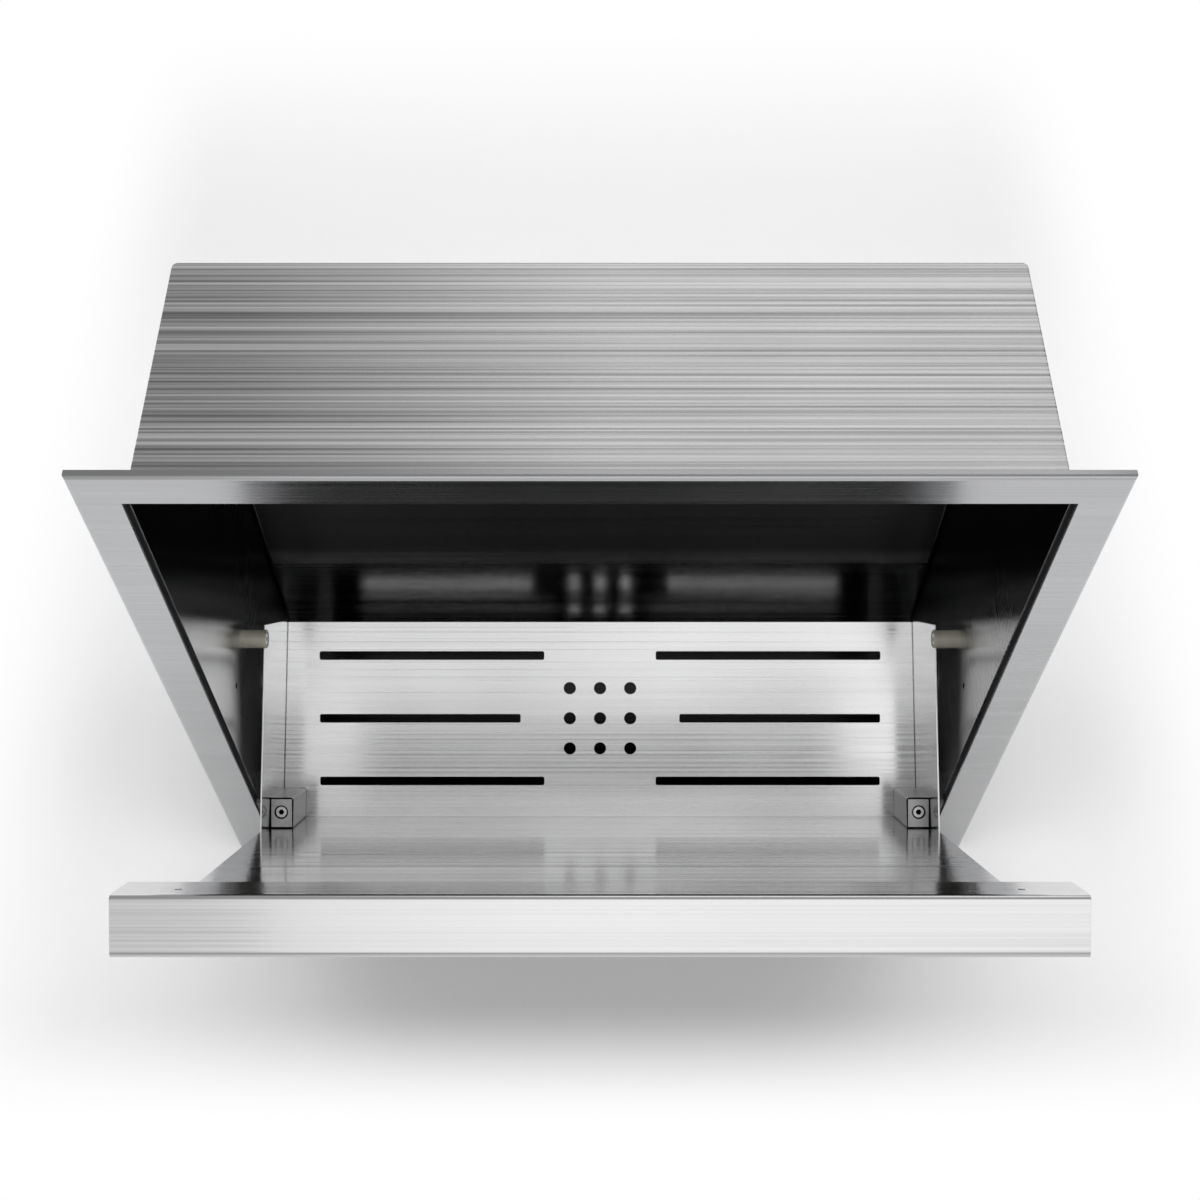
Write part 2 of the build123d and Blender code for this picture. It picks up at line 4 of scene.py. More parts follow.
import bmesh
import bpy
from bpy.props import FloatProperty, FloatVectorProperty, PointerProperty
from bpy.types import NodeSocket, Operator, Panel, PropertyGroup
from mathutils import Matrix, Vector


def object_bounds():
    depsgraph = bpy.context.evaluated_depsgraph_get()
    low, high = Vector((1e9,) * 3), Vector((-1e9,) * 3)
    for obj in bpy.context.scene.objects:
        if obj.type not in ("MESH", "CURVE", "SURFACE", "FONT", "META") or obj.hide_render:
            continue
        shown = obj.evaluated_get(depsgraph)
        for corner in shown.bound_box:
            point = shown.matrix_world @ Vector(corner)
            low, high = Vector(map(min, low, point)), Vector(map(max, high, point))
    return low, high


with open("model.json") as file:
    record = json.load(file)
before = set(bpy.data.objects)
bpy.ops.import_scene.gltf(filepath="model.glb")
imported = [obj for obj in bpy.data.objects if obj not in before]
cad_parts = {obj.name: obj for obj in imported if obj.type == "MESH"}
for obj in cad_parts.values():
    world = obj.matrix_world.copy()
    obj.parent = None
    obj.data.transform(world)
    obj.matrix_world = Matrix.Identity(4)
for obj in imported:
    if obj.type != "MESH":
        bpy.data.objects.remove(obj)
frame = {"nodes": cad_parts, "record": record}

bl_info = {
    "name": "Tilt-out storage door",
    "version": (1, 0, 0),
    "blender": (4, 5, 0),
    "location": "3D View > Sidebar > Storage door",
    "description": "Brushed steel finishes, studio and camera for a tilt-out storage access door",
    "category": "Object",
}

CAD_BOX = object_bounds()

# The door and all that rides on it stand tilted by this angle at rest, about an axis along X.
HINGE = frame["record"]["behaviour"]["joints"][0]
OPEN_ANGLE = -math.radians(HINGE["range_deg"][0])

# CAD nodes that share a finish
HINGE_BLOCKS = ("hinge_block_left", "hinge_block_right")
LINER_SIDES = ("liner_side_left", "liner_side_right")
TRAY_SIDES = ("tray_side_left", "tray_side_right")
STOP_SLEEVES = ("stop_sleeve_left", "stop_sleeve_right")
PIVOT_BEARINGS = ("pivot_bearing_left", "pivot_bearing_right")
PIVOT_BUSHES = ("pivot_bush_left", "pivot_bush_right")
FASTENERS = (
    "liner_rivets", "bearing_screws", "stop_nuts", "fixing_screws_left", "fixing_screws_right",
    "stop_post_left", "stop_post_right", "pivot_pin_left", "pivot_pin_right",
)

# The liner's back and sides go from bare to painted shade over these heights, in metres.
BACK_PAINTED_SHADE = (-0.125, -0.085)
SIDE_PAINTED_SHADE = (0.11, 0.16)

# On the sides, the height rises by this much more for each metre towards the rear.
SIDE_PAINTED_SHADE_SLOPE = 1.78

# Depths between which the sides have their holes, which get painted shade
SIDE_HOLES = (0.02, 0.17)

# Depths of the bare stripes across the bottom, left without painted shade, and distances from the middle
# over which they end
BARE_STRIPES = ((0.1160, 0.1265), (0.1455, 0.1520))
BARE_STRIPE_END = (0.235, 0.21)
STRIPE_SOFTNESS = 0.001

# A face counts as inner when its direction, or a side's direction times its distance, is past these.
FACING = 0.5
SIDE_FACING = 0.1

# Outer faces and the bend of the door are darker than the steel by these factors. The liner's inner faces
# carry painted light, lighter than its outer faces, and the darker bend is a painted reflection of a
# shaded floor.
OUTSIDE_DARKENING = 0.6
BEND_PAINTED_SHADE = 0.6
BEND_WIDTH = 0.0032

# The tray's walls, and how much it narrows on each side for each metre towards its rear.
TRAY_WALL_THICKNESS = 0.0012
TRAY_NARROWING = 0.0278

# Dark lines round the hinge blocks' ends and along the door's skin, painted shade where a block meets the
# tray floor and the skin
BLOCK_EDGE_WIDTH = 0.0013

# Radii of the clamp screw's well and socket as shares of its head's radius, and where the socket starts;
# well and socket get painted shade.
WELL_SHARE = 1.29
SOCKET_SHARE = 0.56
SOCKET_RIM = 0.0003

# Turns of the brushing's noise in a metre, along the brushing and across it.
BAND_SCALES = (2.0, 110.0)
LINE_SCALES = (0.8, 480.0)
HAIR_SCALES = (7.0, 2200.0)
CLOUD_SCALE = 5.0

# What the lines and clouds add to the roughness, and the hairs' share in the relief.
LINE_GLOSS = (-0.05, 0.06)
CLOUD_GLOSS = (-0.03, 0.03)
HAIR_SHARE = 0.15

# Most of a noise's values lie in these ranges.
NOISE_RANGE = (0.3, 0.7)
STREAK_RANGE = (0.36, 0.64)
WORN_RANGE = (0.35, 0.7)

# Height of the finest relief
GRAIN_HEIGHT = 0.0001

# Sockets of a colour mix node
MIX_SHARE = 0
MIX_FIRST = 6
MIX_SECOND = 7
MIX_RESULT = 2

# The floor lies just under the frame.
FLOOR_GAP = 0.0005
FLOOR_LEVEL = CAD_BOX[0][2] - FLOOR_GAP
FLOOR_RADIUS = 6.0
FLOOR_SEGMENTS = 96

# Place, target and size of each soft light
FLOOR_LIGHT = ((0.0, 0.0, 1.5), (0.0, 0.0, 0.0), (2.2, 1.2))
FRONT_LIGHT = ((0.2, -1.3, 1.85), (0.0, 0.0, 0.0), (1.8, 1.3))
REAR_LIGHT = ((0.2, 1.5, 1.8), (0.0, 0.0, 0.2), (1.7, 0.9))

# The rear light fades from one level to the other between these shares of its length.
REAR_FADE = (0.95, 0.58)
REAR_LEVELS = (0.3, 1.12)

# Parts of a direction between which the room changes, and the share of the pale front on its left.
HORIZON = (0.2, 0.02)
FRONT_WAY = (0.05, -0.55)
LEFT_WAY = (-0.38, 0.08)
LEFT_SHARE = 0.66

WHITE = (1.0, 1.0, 1.0, 1.0)


def colour_setting(name, description, default):
    """A colour that the user can change, linear RGB."""
    return FloatVectorProperty(
        name=name, description=description, default=default, subtype="COLOR", size=3, min=0.0, max=1.0
    )


def share_setting(name, description, default):
    """A share between 0 and 1 that the user can change."""
    return FloatProperty(
        name=name, description=description, default=default, subtype="FACTOR", min=0.0, max=1.0
    )


def power_setting(name, description, default):
    """The power of a light that the user can change."""
    return FloatProperty(name=name, description=description, default=default, unit="POWER", min=0.0)


def fade_setting(name, where, default):
    """Two distances between which the floor clears to white, which the user can change."""
    return FloatVectorProperty(
        name=name, description=f"Where the floor begins to clear, and is plain white, {where}",
        default=default, subtype="XYZ", unit="LENGTH", size=2,
    )


class StorageDoorSteel(PropertyGroup):
    """Colours and brushing of the sheet steel."""

    frame_colour: colour_setting("Frame", "Flange round the opening", (0.48, 0.483, 0.49))
    liner_top_colour: colour_setting("Liner top", "Coarsely brushed top of the liner", (0.66, 0.66, 0.665))
    # The liner's colour is painted light: lighter than plain steel on the inner faces, darkened on the
    # outer faces.
    liner_colour: colour_setting("Liner", "Bottom, back and sides of the liner", (0.92, 0.92, 0.925))
    door_colour: colour_setting("Door", "Skin, strip and lip of the door", (0.78, 0.78, 0.785))
    tray_colour: colour_setting("Tray", "Floor and walls of the tray", (0.80, 0.80, 0.805))
    # Painted shade: a dark colour put inside the liner and under the tray, where there is only shade.
    painted_shade_colour: colour_setting(
        "Painted shade", "Painted shade inside the liner and under the tray", (0.03, 0.03, 0.03)
    )
    brush_spread: share_setting("Brush spread", "How far the brushing stretches a highlight", 0.72)
    edge_radius: FloatProperty(
        name="Edge radius", description="Rounding of the sheets' cut edges", default=0.0004,
        unit="LENGTH", min=0.0, max=0.002,
    )


class StorageDoorFittings(PropertyGroup):
    """Colours of the hinge blocks, stops, bearings, seal and fasteners."""

    block_colour: colour_setting("Hinge block", "Satin faces of the hinge blocks", (0.45, 0.45, 0.445))
    block_line_and_shade_colour: colour_setting("Block lines and shade", "Dark lines and painted shade of the blocks", (0.008, 0.008, 0.008))
    fastener_colour: colour_setting("Fasteners", "Screws, pins, nuts and rivets", (0.58, 0.58, 0.59))
    bearing_colour: colour_setting("Bearing plates", "Moulded plates at the pivots", (0.05, 0.05, 0.052))
    bush_colour: colour_setting("Bushes", "Moulded bushes of the pivots", (0.72, 0.70, 0.63))
    stop_colour: colour_setting("Stops", "Clear sleeves that the tray rests on", (0.94, 0.91, 0.76))
    seal_colour: colour_setting("Seal", "Black strip inside the opening", (0.012, 0.012, 0.012))


class StorageDoorStudio(PropertyGroup):
    """Floor, lights and camera."""

    floor_colour: colour_setting("Floor", "Pale studio floor", (0.92, 0.92, 0.92))
    front_fade: fade_setting("Front fade", "in front of the wall", (0.14, 0.235))
    side_fade: fade_setting("Side fade", "on both sides", (0.42, 0.57))
    rear_fade: fade_setting("Rear fade", "behind the wall", (0.65, 1.1))
    world_level: FloatProperty(
        name="World level", description="Brightness of the room above the horizon",
        default=0.34, min=0.0, max=2.0,
    )
    front_share: share_setting("Pale front", "How near to white the room in front is", 0.75)
    floor_power: power_setting("Floor light", "Power of the overhead light that draws the shadow", 28.0)
    front_power: power_setting("Front light", "Power of the wide light behind the camera", 2.2)
    rear_power: power_setting("Rear light", "Power of the light that the liner's top mirrors", 3.3)
    camera_place: FloatVectorProperty(
        name="Camera", description="Place of the camera", default=(0.0, -0.5349, 0.96368),
        subtype="XYZ", unit="LENGTH", size=3,
    )
    camera_pitch: FloatProperty(
        name="Camera pitch", description="Angle at which the camera looks down",
        default=math.radians(57.52), subtype="ANGLE",
    )
    camera_lens: FloatProperty(
        name="Lens", description="Focal length in millimetres", default=46.51, min=10.0, max=200.0
    )


# Nodes of the CAD model

def node_object(name):
    """The object of a CAD node."""
    if name not in frame["nodes"]:
        raise RuntimeError(f"the packed model has no node named {name}")
    return frame["nodes"][name]


def dress(names, material):
    """Give CAD nodes a finish on all their slots."""
    for name in names:
        piece = node_object(name)
        if not piece.material_slots:
            piece.data.materials.append(material)
        for slot in piece.material_slots:
            slot.material = material


def turned_back(point):
    """A point of the open door, turned back about the origin's X axis as the finishes are."""
    y = point.y * math.cos(OPEN_ANGLE) + point.z * math.sin(OPEN_ANGLE)
    z = point.z * math.cos(OPEN_ANGLE) - point.y * math.sin(OPEN_ANGLE)
    return Vector((point.x, y, z))


def turned_back_corners(name):
    """All corners of a CAD node's mesh, turned back."""
    return [turned_back(vertex.co) for vertex in node_object(name).data.vertices]


def turned_back_box(name):
    """Lowest and highest corners of a CAD node, turned back."""
    corners = turned_back_corners(name)
    low = Vector(min(corner[i] for corner in corners) for i in range(3))
    high = Vector(max(corner[i] for corner in corners) for i in range(3))
    return low, high


# Shader nodes

def add_node(tree, kind, inputs=None, **settings):
    """A new node, its sockets set to values or joined to other nodes' outputs."""
    node = tree.nodes.new(kind)
    for name, value in settings.items():
        setattr(node, name, value)
    for socket, value in (inputs or {}).items():
        if isinstance(value, NodeSocket):
            tree.links.new(value, node.inputs[socket])
        else:
            node.inputs[socket].default_value = value
    return node


def find_node(tree, kind):
    """The first node of a kind."""
    return next(node for node in tree.nodes if node.type == kind)


def calculate(tree, operation, first, second=0.0, clamp=False):
    """Output of a math node."""
    return add_node(
        tree, "ShaderNodeMath", {0: first, 1: second}, operation=operation, use_clamp=clamp
    ).outputs[0]


def calculate_vector(tree, operation, first, second=(0.0, 0.0, 0.0)):
    """Vector output of a vector math node."""
    return add_node(tree, "ShaderNodeVectorMath", {0: first, 1: second}, operation=operation).outputs[0]


def split(tree, vector):
    """X, Y and Z of a vector."""
    return add_node(tree, "ShaderNodeSeparateXYZ", {0: vector}).outputs


def ramp(tree, value, low, high, out_low=0.0, out_high=1.0, smooth=False):
    """A value carried from one range to another, clamped at both ends."""
    return add_node(
        tree,
        "ShaderNodeMapRange",
        {0: value, 1: low, 2: high, 3: out_low, 4: out_high},
        interpolation_type="SMOOTHSTEP" if smooth else "LINEAR",
    ).outputs[0]


def stripe(tree, value, start, end):
    """Share that is 1 between two values and falls off softly beyond them."""
    rise = ramp(tree, value, start - STRIPE_SOFTNESS, start, smooth=True)
    fall = ramp(tree, value, end, end + STRIPE_SOFTNESS, smooth=True)
    return calculate(tree, "SUBTRACT", rise, fall, clamp=True)


def blend_colours(tree, share, first, second, blend_type="MIX"):
    """A colour between two others, or of both multiplied."""
    node = add_node(tree, "ShaderNodeMix", {MIX_SHARE: share}, data_type="RGBA", blend_type=blend_type)
    for socket, colour in ((MIX_FIRST, first), (MIX_SECOND, second)):
        if isinstance(colour, NodeSocket):
            tree.links.new(colour, node.inputs[socket])
        else:
            node.inputs[socket].default_value = (*colour, 1.0)
    return node.outputs[MIX_RESULT]


def shade(colour, factor):
    """A colour made darker or lighter."""
    return tuple(min(1.0, part * factor) for part in colour)


def mottled(tree, noise, colour, darker, lighter, limits=NOISE_RANGE):
    """A colour that a noise makes darker in places and lighter in others."""
    return blend_colours(tree, ramp(tree, noise, *limits), shade(colour, darker), shade(colour, lighter))


def object_place(tree, tilt=0.0):
    """Place on the object, turned back by the angle at which the piece stands."""
    place = add_node(tree, "ShaderNodeTexCoord").outputs["Object"]
    if tilt:
        turn = {"Vector": place, "Rotation": (-tilt, 0.0, 0.0)}
        place = add_node(tree, "ShaderNodeMapping", turn).outputs[0]
    return place


def object_axes(tree, tilt=0.0):
    """Coordinates on the object, X folded so that left and right are alike."""
    x, y, z = split(tree, object_place(tree, tilt))
    return calculate(tree, "ABSOLUTE", x), y, z


def face_way(tree):
    """Parts of the direction that a face of the fixed unit looks in."""
    return split(tree, add_node(tree, "ShaderNodeNewGeometry").outputs["True Normal"])


def stretched_noise(tree, place, scales, detail=2.0):
    """Noise with its own scale on each axis."""
    mapped = add_node(tree, "ShaderNodeMapping", {"Vector": place, "Scale": scales}).outputs[0]
    return add_node(
        tree, "ShaderNodeTexNoise", {"Vector": mapped, "Scale": 1.0, "Detail": detail}
    ).outputs[0]


def even_noise(tree, place, scale, detail=2.0):
    """Noise with one scale on all axes."""
    return stretched_noise(tree, place, (scale, scale, scale), detail)


def brush_lines(tree, place, axis, scales, detail):
    """Noise drawn out along the brushing."""
    along, across = scales
    axis_scales = [across] * 3
    axis_scales["XYZ".index(axis)] = along
    return stretched_noise(tree, place, axis_scales, detail)


# Finishes

def start_material(name):
    """An empty node material with its Principled shader."""
    material = bpy.data.materials.new(name)
    material.use_nodes = True
    tree = material.node_tree
    tree.nodes.clear()
    shader = add_node(tree, "ShaderNodeBsdfPrincipled")
    add_node(tree, "ShaderNodeOutputMaterial", {"Surface": shader.outputs[0]})
    return material, tree, shader


def lay_surface(tree, shader, painted, gloss, relief, depth, height=GRAIN_HEIGHT, rounded=None):
    """Give a shader its colour, roughness and relief, the last on rounded edges where they are given."""
    inputs = {"Strength": depth, "Distance": height, "Height": relief}
    if rounded is not None:
        inputs["Normal"] = rounded
    bump = add_node(tree, "ShaderNodeBump", inputs)
    tree.links.new(painted, shader.inputs["Base Color"])
    tree.links.new(gloss, shader.inputs["Roughness"])
    tree.links.new(bump.outputs[0], shader.inputs["Normal"])


def paint_light_and_shade(material, share, colour, dulling=0.0):
    """Paint a colour over a steel where the share is 1, and dull it there; it lays painted shade and
    painted light.
    """
    tree = material.node_tree
    shader = find_node(tree, "BSDF_PRINCIPLED")
    steel_colour = shader.inputs["Base Color"].links[0].from_socket
    steel_gloss = shader.inputs["Roughness"].links[0].from_socket
    tree.links.new(blend_colours(tree, share, steel_colour, colour), shader.inputs["Base Color"])
    dulled = calculate(tree, "ADD", steel_gloss, calculate(tree, "MULTIPLY", share, dulling), clamp=True)
    tree.links.new(dulled, shader.inputs["Roughness"])


def paint_darker(material, share, factor):
    """Darken a steel by a factor where the share is 1, with its brushing kept; it paints the door bend's
    dark reflection and the liner's darker outer faces.
    """
    tree = material.node_tree
    shader = find_node(tree, "BSDF_PRINCIPLED")
    steel_colour = shader.inputs["Base Color"].links[0].from_socket
    darkened = blend_colours(tree, share, steel_colour, (factor, factor, factor), blend_type="MULTIPLY")
    tree.links.new(darkened, shader.inputs["Base Color"])


def brushed_steel(
    name, colour, axis, spread, edge,
    tilt=0.0, contrast=0.1, roughness=0.3, depth=0.5, bands_share=0.4, uneven=1.0,
):
    """Stainless sheet brushed along one axis: bands, lines and hairlines in tone, gloss and relief."""
    material, tree, shader = start_material(name)
    place = object_place(tree, tilt)
    bands = brush_lines(tree, place, axis, BAND_SCALES, detail=2.0)
    lines = brush_lines(tree, place, axis, LINE_SCALES, detail=3.0)
    hairs = brush_lines(tree, place, axis, HAIR_SCALES, detail=1.0)
    clouds = even_noise(tree, place, CLOUD_SCALE)
    wide = calculate(tree, "MULTIPLY", bands, bands_share)
    fine = calculate(tree, "MULTIPLY", lines, 1.0 - bands_share)
    streaks = calculate(tree, "ADD", wide, fine)
    painted = mottled(tree, streaks, colour, 1.0 - contrast, 1.0 + contrast, STREAK_RANGE)
    line_gloss = ramp(tree, lines, *NOISE_RANGE, *(uneven * value for value in LINE_GLOSS))
    cloud_gloss = ramp(tree, clouds, *NOISE_RANGE, *CLOUD_GLOSS)
    gloss = calculate(tree, "ADD", line_gloss, cloud_gloss)
    gloss = calculate(tree, "ADD", gloss, roughness, clamp=True)
    relief = calculate(tree, "ADD", streaks, calculate(tree, "MULTIPLY", hairs, HAIR_SHARE))
    rounded = add_node(tree, "ShaderNodeBevel", {"Radius": edge}, samples=4).outputs[0]
    lay_surface(tree, shader, painted, gloss, relief, depth, rounded=rounded)
    tangent = add_node(tree, "ShaderNodeTangent", direction_type="RADIAL", axis=axis)
    tree.links.new(tangent.outputs[0], shader.inputs["Tangent"])
    shader.inputs["Metallic"].default_value = 1.0
    shader.inputs["Anisotropic"].default_value = spread
    return material


def soft_rubber(name, colour):
    """Matt rubber with a fine grain."""
    material, tree, shader = start_material(name)
    place = object_place(tree)
    grain = even_noise(tree, place, scale=900.0, detail=3.0)
    blotch = even_noise(tree, place, scale=30.0)
    painted = mottled(tree, blotch, colour, darker=0.7, lighter=1.4)
    gloss = ramp(tree, grain, *NOISE_RANGE, out_low=0.6, out_high=0.8)
    lay_surface(tree, shader, painted, gloss, grain, depth=0.4, height=2 * GRAIN_HEIGHT)
    return material


def moulded_plastic(name, colour):
    """Moulded plastic with a fine spark-eroded grain and faint flow marks."""
    material, tree, shader = start_material(name)
    place = object_place(tree)
    grain = even_noise(tree, place, scale=1400.0)
    flow = stretched_noise(tree, place, scales=(60.0, 20.0, 60.0), detail=3.0)
    painted = mottled(tree, flow, colour, darker=0.9, lighter=1.1)
    gloss = ramp(tree, flow, *NOISE_RANGE, out_low=0.4, out_high=0.52)
    lay_surface(tree, shader, painted, gloss, grain, depth=0.25)
    return material


def plated_steel(name, colour, tilt=0.0):
    """Bright plated fasteners with fine turning marks and worn patches."""
    material, tree, shader = start_material(name)
    place = object_place(tree, tilt)
    marks = even_noise(tree, place, scale=2600.0)
    worn = even_noise(tree, place, scale=240.0, detail=3.0)
    painted = mottled(tree, worn, colour, darker=0.75, lighter=1.15, limits=WORN_RANGE)
    gloss = ramp(tree, worn, *NOISE_RANGE, out_low=0.18, out_high=0.34)
    lay_surface(tree, shader, painted, gloss, marks, depth=0.15)
    shader.inputs["Metallic"].default_value = 1.0
    return material


def clear_plastic(name, colour):
    """Clear sleeve, faintly yellow, with fine scuffs."""
    material, tree, shader = start_material(name)
    place = object_place(tree)
    scuffs = stretched_noise(tree, place, scales=(60.0, 900.0, 900.0), detail=3.0)
    haze = even_noise(tree, place, scale=120.0)
    painted = mottled(tree, haze, colour, darker=0.93, lighter=1.04)
    gloss = ramp(tree, scuffs, *NOISE_RANGE, out_low=0.04, out_high=0.12)
    lay_surface(tree, shader, painted, gloss, scuffs, depth=0.1)
    shader.inputs["Transmission Weight"].default_value = 0.4
    shader.inputs["IOR"].default_value = 1.47
    return material


# Face frame

class STORAGEDOOR_OT_finish_frame(Operator):
    """Brush the face frame along X and blacken the seal strip inside it"""

    bl_idname = "storage_door.finish_frame"
    bl_label = "Face frame and seal"

    def execute(self, context):
        steel = context.scene.storage_door_steel
        fittings = context.scene.storage_door_fittings
        finish = brushed_steel(
            "frame_brushed_steel", steel.frame_colour, "X", steel.brush_spread, steel.edge_radius,
            contrast=0.05, roughness=0.22, depth=0.12,
        )
        dress(["face_frame"], finish)
        dress(["opening_seal"], soft_rubber("seal_black_rubber", fittings.seal_colour))
        return {"FINISHED"}


# Liner

def side_outwards(tree):
    """How far a side's face looks away from the unit's middle, times its distance from there."""
    x = split(tree, object_place(tree))[0]
    return calculate(tree, "MULTIPLY", x, face_way(tree)[0])


def bottom_inner(tree):
    """Share that is 1 on the bottom's inner face, which looks up."""
    return calculate(tree, "GREATER_THAN", face_way(tree)[2], FACING)


def back_inner(tree):
    """Share that is 1 on the back's inner face, which looks forward."""
    return calculate(tree, "LESS_THAN", face_way(tree)[1], -FACING)


def side_inner(tree):
    """Share that is 1 on the sides' inner faces, which look at each other."""
    return calculate(tree, "LESS_THAN", side_outwards(tree), -SIDE_FACING)


def bottom_painted_shade(tree):
    """The bottom's inner face gets painted shade, a dark sheet where there is only shade, but for two bare
    stripes near its rear.
    """
    x, y, z = object_axes(tree)
    first, second = [stripe(tree, y, start, end) for start, end in BARE_STRIPES]
    stripes = calculate(tree, "ADD", first, second)
    stripes = calculate(tree, "MULTIPLY", stripes, ramp(tree, x, *BARE_STRIPE_END, smooth=True))
    return calculate(tree, "SUBTRACT", bottom_inner(tree), stripes, clamp=True)


def back_painted_shade(tree):
    """The back's inner face gets painted shade in its upper part."""
    z = object_axes(tree)[2]
    return calculate(tree, "MULTIPLY", ramp(tree, z, *BACK_PAINTED_SHADE, smooth=True), back_inner(tree))


def side_painted_shade(tree):
    """The sides get painted shade inside above a line that falls to the rear, and in their holes."""
    x, y, z = object_axes(tree)
    height = calculate(tree, "ADD", calculate(tree, "MULTIPLY", y, SIDE_PAINTED_SHADE_SLOPE), z)
    upper = calculate(tree, "MULTIPLY", ramp(tree, height, *SIDE_PAINTED_SHADE, smooth=True), side_inner(tree))
    edgewise = calculate(tree, "LESS_THAN", calculate(tree, "ABSOLUTE", side_outwards(tree)), SIDE_FACING)
    holes = calculate(tree, "MULTIPLY", edgewise, stripe(tree, y, *SIDE_HOLES))
    return calculate(tree, "MAXIMUM", upper, holes)


def finish_sheet(sheet, inner, painted_shade, colour, dulling=0.0):
    """Darken a liner sheet's outer faces below its painted-light inner faces, and lay painted shade where
    it is dark inside.
    """
    tree = sheet.node_tree
    paint_darker(sheet, calculate(tree, "SUBTRACT", 1.0, inner(tree)), OUTSIDE_DARKENING)
    paint_light_and_shade(sheet, painted_shade(tree), colour, dulling)


class STORAGEDOOR_OT_finish_liner(Operator):
    """Brush the liner's sheets along their length, with painted light on their inner faces and painted
    shade over the dark parts
    """

    bl_idname = "storage_door.finish_liner"
    bl_label = "Liner sheets"

    def execute(self, context):
        steel = context.scene.storage_door_steel
        top = brushed_steel(
            "liner_coarse_steel", steel.liner_top_colour, "X", steel.brush_spread, steel.edge_radius,
            contrast=0.55, roughness=0.3, depth=1.6, bands_share=0.1, uneven=2.2,
        )
        side = brushed_steel(
            "liner_side_steel", steel.liner_colour, "Y", spread=0.95, edge=steel.edge_radius,
            contrast=0.03, roughness=0.25, depth=0.015, uneven=0.3,
        )
        bottom, back = [
            brushed_steel(
                name, steel.liner_colour, "X", steel.brush_spread, steel.edge_radius,
                contrast=0.08, roughness=0.16, depth=0.15,
            )
            for name in ("liner_inner_steel", "liner_back_steel")
        ]
        # Inner faces keep the painted-light colour; painted shade goes over their dark parts.
        finish_sheet(bottom, bottom_inner, bottom_painted_shade, steel.painted_shade_colour)
        finish_sheet(back, back_inner, back_painted_shade, shade(steel.painted_shade_colour, 3.0), dulling=0.35)
        finish_sheet(side, side_inner, side_painted_shade, shade(steel.painted_shade_colour, 0.4))
        dress(["liner_top"], top)
        dress(["liner_bottom"], bottom)
        dress(["liner_back"], back)
        dress(LINER_SIDES, side)
        return {"FINISHED"}


# Door panel

def outer_bend(tree):
    """Share that is 1 on the bend between the skin and the top strip."""
    low, high = turned_back_box("door_panel")
    x, y, z = object_axes(tree, OPEN_ANGLE)
    forward = calculate(tree, "LESS_THAN", y, low.y + BEND_WIDTH)
    upper = calculate(tree, "GREATER_THAN", z, high.z - BEND_WIDTH)
    return calculate(tree, "MULTIPLY", forward, upper)


class STORAGEDOOR_OT_finish_door(Operator):
    """Brush the door panel along X, with a painted dark reflection on its outer bend"""

    bl_idname = "storage_door.finish_door"
    bl_label = "Door panel"

    def execute(self, context):
        steel = context.scene.storage_door_steel
        finish = brushed_steel(
            "door_brushed_steel", steel.door_colour, "X", steel.brush_spread, steel.edge_radius,
            tilt=OPEN_ANGLE, contrast=0.1, roughness=0.17, depth=0.06, bands_share=0.15, uneven=1.6,
        )
        # Painted reflection: the bend is darkened as if it mirrored a shaded floor.
        paint_darker(finish, outer_bend(finish.node_tree), BEND_PAINTED_SHADE)
        dress(["door_panel"], finish)
        return {"FINISHED"}


# Tray

def underside(tree):
    """Share that is 1 on the lower half of the tray floor's thickness."""
    low, high = turned_back_box("tray_floor")
    z = object_axes(tree, OPEN_ANGLE)[2]
    return calculate(tree, "LESS_THAN", z, (low.z + high.z) / 2)


def wall_outside(tree):
    """Share that is 1 on the outer half of the tray walls' thickness."""
    corners = turned_back_corners("tray_side_right")
    outer = max(corner.x + corner.y * TRAY_NARROWING for corner in corners)
    x, y, z = object_axes(tree, OPEN_ANGLE)
    across = calculate(tree, "ADD", x, calculate(tree, "MULTIPLY", y, TRAY_NARROWING))
    return calculate(tree, "GREATER_THAN", across, outer - TRAY_WALL_THICKNESS / 2)


class STORAGEDOOR_OT_finish_tray(Operator):
    """Brush the tray's floor along X and its walls upwards, with painted shade below and paler, duller
    painted light outside
    """

    bl_idname = "storage_door.finish_tray"
    bl_label = "Tray floor and walls"

    def execute(self, context):
        steel = context.scene.storage_door_steel
        floor = brushed_steel(
            "tray_floor_steel", steel.tray_colour, "X", steel.brush_spread, steel.edge_radius,
            tilt=OPEN_ANGLE, contrast=0.1, roughness=0.21, depth=0.1, bands_share=0.25, uneven=1.4,
        )
        wall = brushed_steel(
            "tray_wall_steel", steel.tray_colour, "Z", spread=0.3, edge=steel.edge_radius,
            tilt=OPEN_ANGLE, contrast=0.05, roughness=0.2, depth=0.12,
        )
        # Painted shade under the tray floor; the walls' outer faces are painted lighter than the steel,
        # painted light for the liner's sides to mirror.
        paint_light_and_shade(floor, underside(floor.node_tree), steel.painted_shade_colour, dulling=0.45)
        paint_light_and_shade(wall, wall_outside(wall.node_tree), shade(steel.tray_colour, 1.2), dulling=0.3)
        dress(["tray_floor"], floor)
        dress(TRAY_SIDES, wall)
        return {"FINISHED"}


# Hinges, stops and fasteners

